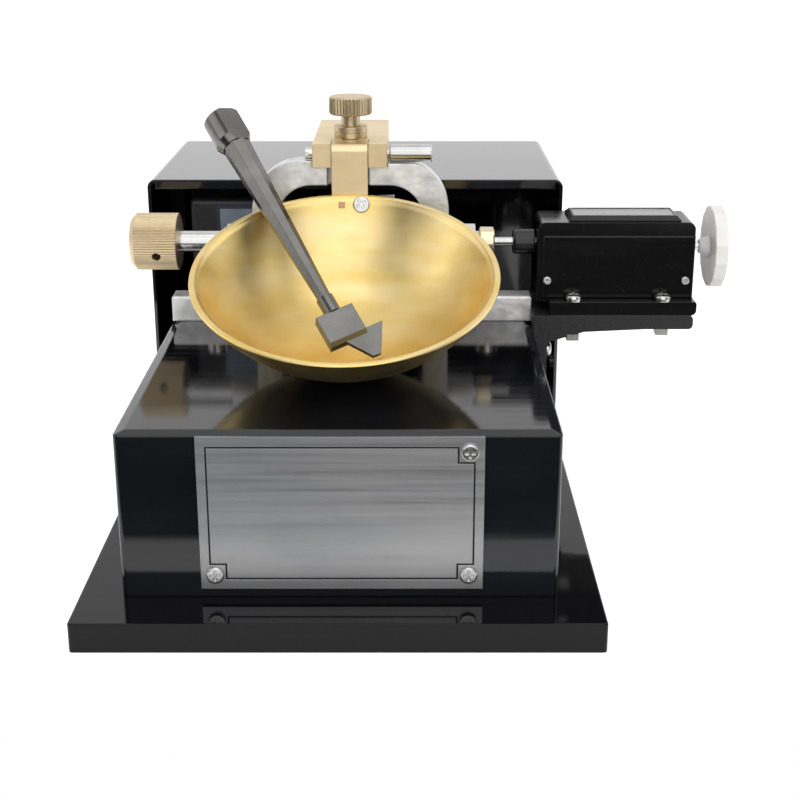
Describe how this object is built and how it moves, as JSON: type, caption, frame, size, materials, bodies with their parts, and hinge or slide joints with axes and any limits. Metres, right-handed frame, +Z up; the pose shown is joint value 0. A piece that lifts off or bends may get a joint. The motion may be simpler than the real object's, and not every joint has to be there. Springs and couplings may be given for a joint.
{
  "type": "liquid limit device",
  "caption": "Motorised soil testing cup device: a brass cup hangs from an arch over a black rubber block on a plate, with a camshaft, knob, counter, rear hood and grooving tool.",
  "frame": {"origin": "centre of the base plate's underside", "axes": "+Z up, -Y towards the user and the nameplate, +X to the user's right, towards the counter"},
  "size_m": [0.2073, 0.2575, 0.1376],
  "materials": {
    "black_gloss_paint": "smooth glossy black enamel",
    "hard_rubber": "polished black hard rubber",
    "plated_steel": "bright plated screws",
    "brushed_nameplate": "satin steel sheet, brushed along its width",
    "silver_casting": "cast light alloy with a hammered silver coat and machined edges",
    "bearing_bronze": "plain bronze",
    "ground_steel": "turned and ground",
    "dark_steel": "blackened",
    "gear_steel": "cut teeth, lightly oiled",
    "knurled_brass": "turned brass with straight knurling",
    "yellow_brass": "turned brass",
    "sleeve_rubber": "matt black tube",
    "pale_brass": "milled brass, nickel-like pale tint",
    "cup_brass": "spun brass with fine turning marks",
    "copper_peg": "reddish metal",
    "dark_chrome": "dark polished plating",
    "black_gloss_case": "deep gloss black",
    "clear_window": "clear flat pane",
    "black_wheel": "black moulded wheels",
    "white_nylon": "milky white nylon",
    "black_crinkle_paint": "black wrinkle finish",
    "black_gloss_hood": "semi-gloss black enamel, matt inside",
    "motor_black": "black painted motor body",
    "cast_gearbox": "bead-blasted light alloy",
    "label_foil": "plain pale blue foil with a navy border",
    "zinc_sheet": "zinc-plated sheet",
    "black_plastic": "moulded black plastic",
    "red_plastic": "moulded red plastic"
  },
  "bodies": {
    "frame": {"base_plate": "black_gloss_paint", "rubber_block": "hard_rubber", "block_screws": "plated_steel", "nameplate": "brushed_nameplate", "nameplate_screws": "plated_steel", "arch_frame": "silver_casting", "frame_screws": "plated_steel", "shaft_bushes": "bearing_bronze", "idler_axle": "ground_steel", "counter_case": "black_gloss_case", "counter_cover": "black_gloss_case", "counter_cover_screws": "plated_steel", "window_frame": "black_gloss_case", "counter_window": "clear_window", "counter_mounting_screws": "plated_steel", "counter_mounting_nuts": "gear_steel", "counter_bracket": "black_crinkle_paint", "bracket_screws": "plated_steel", "rear_hood": "black_gloss_hood", "hood_screws": "plated_steel", "gear_motor": "motor_black", "motor_gearbox": "cast_gearbox", "motor_label": "label_foil", "motor_bracket": "zinc_sheet", "motor_screws": "plated_steel", "motor_foot_screws": "plated_steel", "mains_inlet": "black_plastic", "switch_body": "black_plastic"},
    "camshaft_assembly": {"camshaft": "ground_steel", "cam": "ground_steel", "cam_set_screw": "dark_steel", "camshaft_gear": "gear_steel", "gear_set_screw": "dark_steel", "turning_knob": "knurled_brass", "knob_set_screw": "dark_steel", "shaft_collar": "yellow_brass", "collar_set_screw": "dark_steel", "coupling_sleeve": "sleeve_rubber", "counter_input_shaft": "ground_steel"},
    "idler": {"idler_gear": "gear_steel"},
    "pinion_assembly": {"motor_pinion": "gear_steel", "motor_shaft": "ground_steel"},
    "units_wheel_body": {"units_wheel": "black_wheel"},
    "reset_assembly": {"reset_shaft": "ground_steel", "reset_knob": "white_nylon", "digit_wheels": "black_wheel"},
    "clamp_assembly": {"clamp_screw": "knurled_brass", "clamp_washer": "knurled_brass"},
    "adjuster": {"adjusting_screw": "knurled_brass"},
    "carriage": {"carriage_block": "pale_brass", "pivot_pin": "ground_steel"},
    "cup_assembly": {"cup_hanger": "pale_brass", "cup": "cup_brass", "cup_screw": "plated_steel", "cup_peg": "copper_peg"},
    "grooving_tool": {"tool_gauge_head": "dark_chrome", "tool_shank": "dark_chrome", "tool_blade": "dark_chrome"},
    "rocker": {"switch_rocker": "red_plastic"}
  },
  "joints": [
    {"name": "camshaft_turn", "type": "hinge", "parent": "frame", "child": "camshaft_assembly", "pos_m": [0, 0.00735, 0.0875], "axis": [1, 0, 0], "range_deg": [0, 270]},
    {"name": "idler_turn", "type": "hinge", "parent": "frame", "child": "idler", "pos_m": [0.012, 0.03743, 0.08], "axis": [1, 0, 0], "range_deg": [-225, 0]},
    {"name": "pinion_turn", "type": "hinge", "parent": "frame", "child": "pinion_assembly", "pos_m": [0.012, 0.06465, 0.07], "axis": [1, 0, 0], "range_deg": [0, 318]},
    {"name": "units_wheel_turn", "type": "hinge", "parent": "frame", "child": "units_wheel_body", "pos_m": [0.084, 0.00735, 0.0858], "axis": [1, 0, 0], "range_deg": [0, 28]},
    {"name": "reset_turn", "type": "hinge", "parent": "frame", "child": "reset_assembly", "pos_m": [0.128, 0.00735, 0.0858], "axis": [1, 0, 0], "continuous": true},
    {"name": "clamp_screw_turn", "type": "hinge", "parent": "frame", "child": "clamp_assembly", "pos_m": [0, 0.01285, 0.134], "axis": [0, 0, 1], "range_deg": [0, 360]},
    {"name": "adjusting_screw_turn", "type": "hinge", "parent": "frame", "child": "adjuster", "pos_m": [0, 0.06085, 0.1175], "axis": [0, 1, 0], "range_deg": [0, 730]},
    {"name": "carriage_slide", "type": "slide", "parent": "frame", "child": "carriage", "axis": [0, -1, 0], "range_m": [0, 0.0016]},
    {"name": "cup_lift", "type": "hinge", "parent": "carriage", "child": "cup_assembly", "pos_m": [0, 0.00385, 0.1193], "axis": [-1, 0, 0], "range_deg": [0, 8.66]},
    {"name": "tool_lift_out", "type": "slide", "parent": "cup_assembly", "child": "grooving_tool", "axis": [0, 0, 1], "range_m": [0, 0.06]},
    {"name": "switch_rock", "type": "hinge", "parent": "frame", "child": "rocker", "pos_m": [0.015, 0.12595, 0.029], "axis": [1, 0, 0], "range_deg": [0, 20]}
  ],
  "couplings": [
    {"joint": "idler_turn", "follows": "camshaft_turn", "ratio": -0.82353},
    {"joint": "pinion_turn", "follows": "camshaft_turn", "ratio": 1.1667},
    {"joint": "units_wheel_turn", "follows": "camshaft_turn", "ratio": 0.1},
    {"joint": "cup_lift", "follows": "camshaft_turn", "ratio": 0.031994},
    {"joint": "adjusting_screw_turn", "follows": "carriage_slide", "rad_per_m": 7854}
  ]
}
